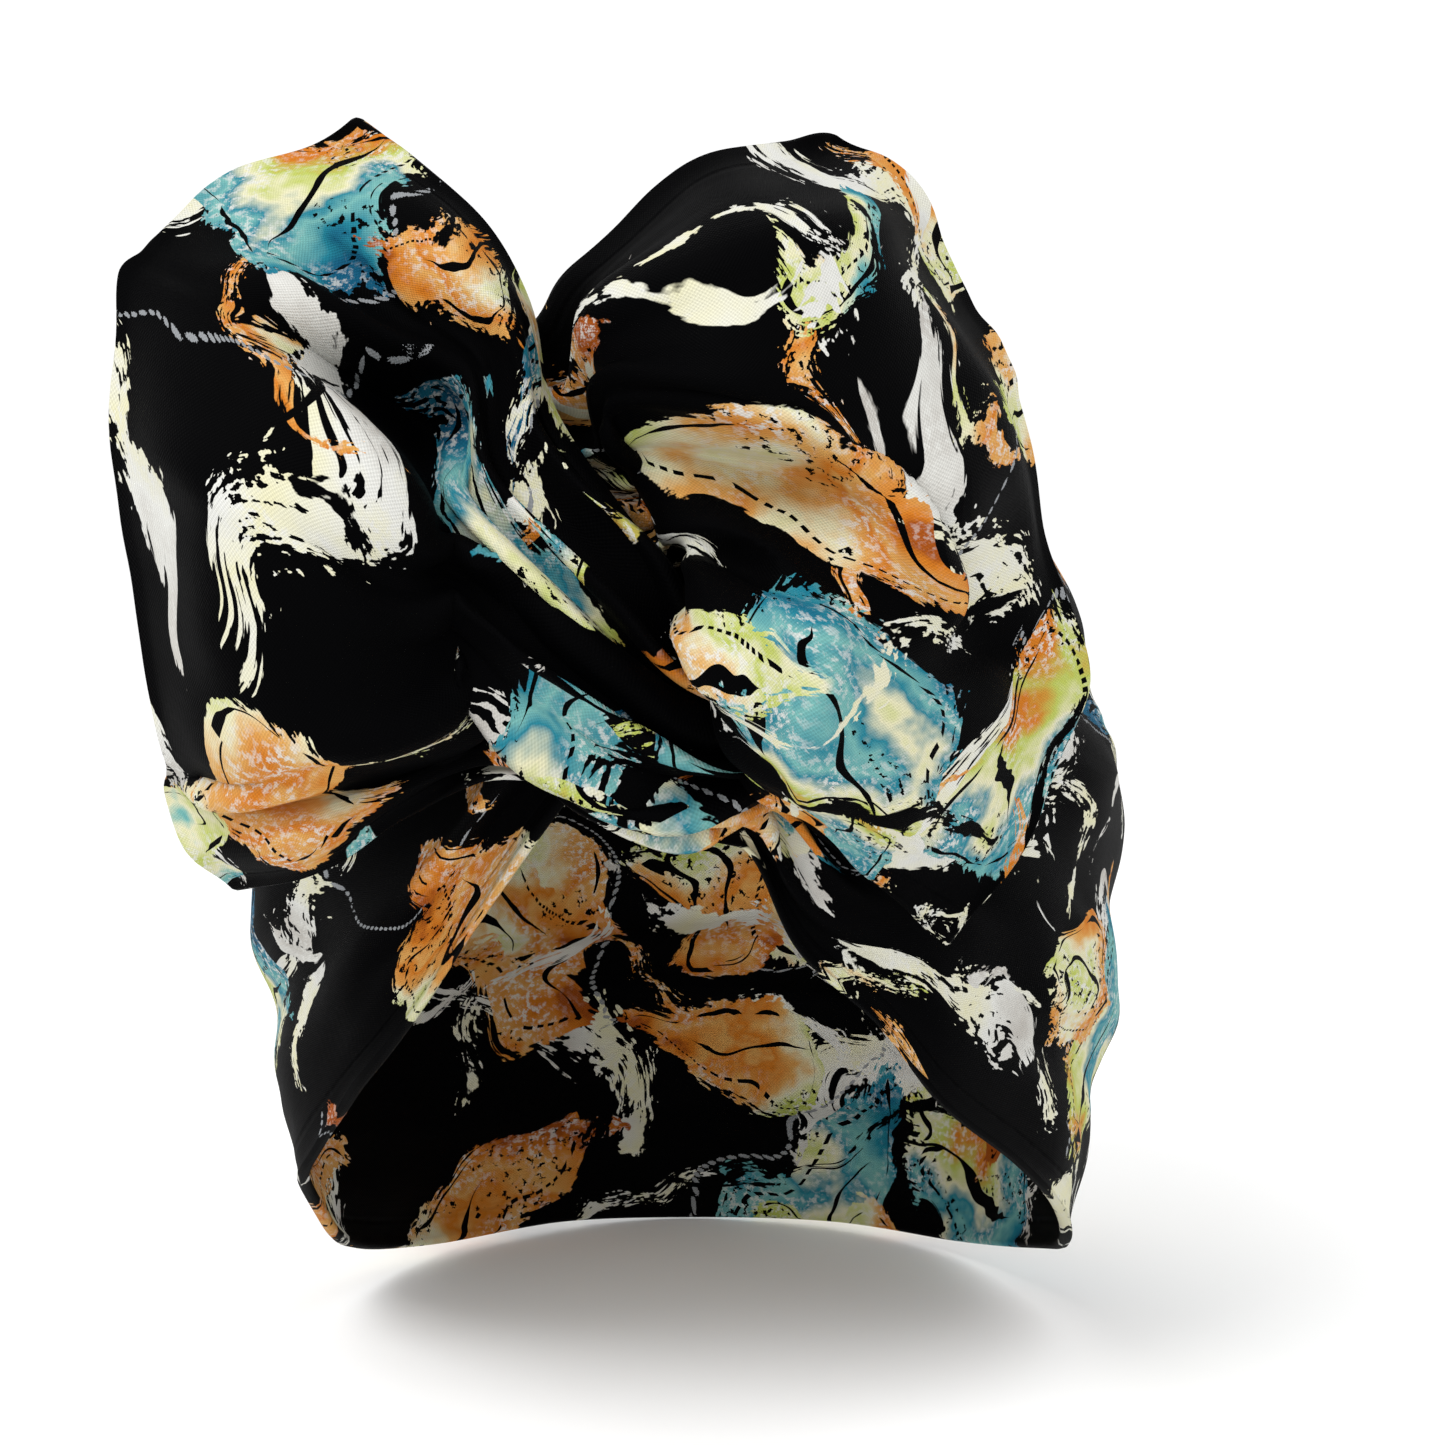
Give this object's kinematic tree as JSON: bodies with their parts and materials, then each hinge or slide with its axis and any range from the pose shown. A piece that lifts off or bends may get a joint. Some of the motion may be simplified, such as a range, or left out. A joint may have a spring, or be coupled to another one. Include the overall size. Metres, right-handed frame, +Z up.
{
  "type": "wired fabric headband",
  "caption": "Wide wired cloth headband in its worn form, twisted once at the hairline with a fan-shaped lobe standing up on each side and an open crown.",
  "frame": {"origin": "middle of the head hollow at the head's widest level", "axes": "+Z up towards the crown, -Y towards the front of the head, where the twist is, and +X to the right as seen from the front"},
  "size_m": [0.1873, 0.2424, 0.2371],
  "materials": {
    "printed_cotton": "plain woven printed cotton, black ground with painterly patches of orange, yellow green, turquoise and cream, a faint satin sheen"
  },
  "bodies": {
    "root": {"head_band": "printed_cotton", "twist_back": "printed_cotton", "twist_front": "printed_cotton", "left_lobe": "printed_cotton", "right_lobe": "printed_cotton"}
  },
  "joints": []
}
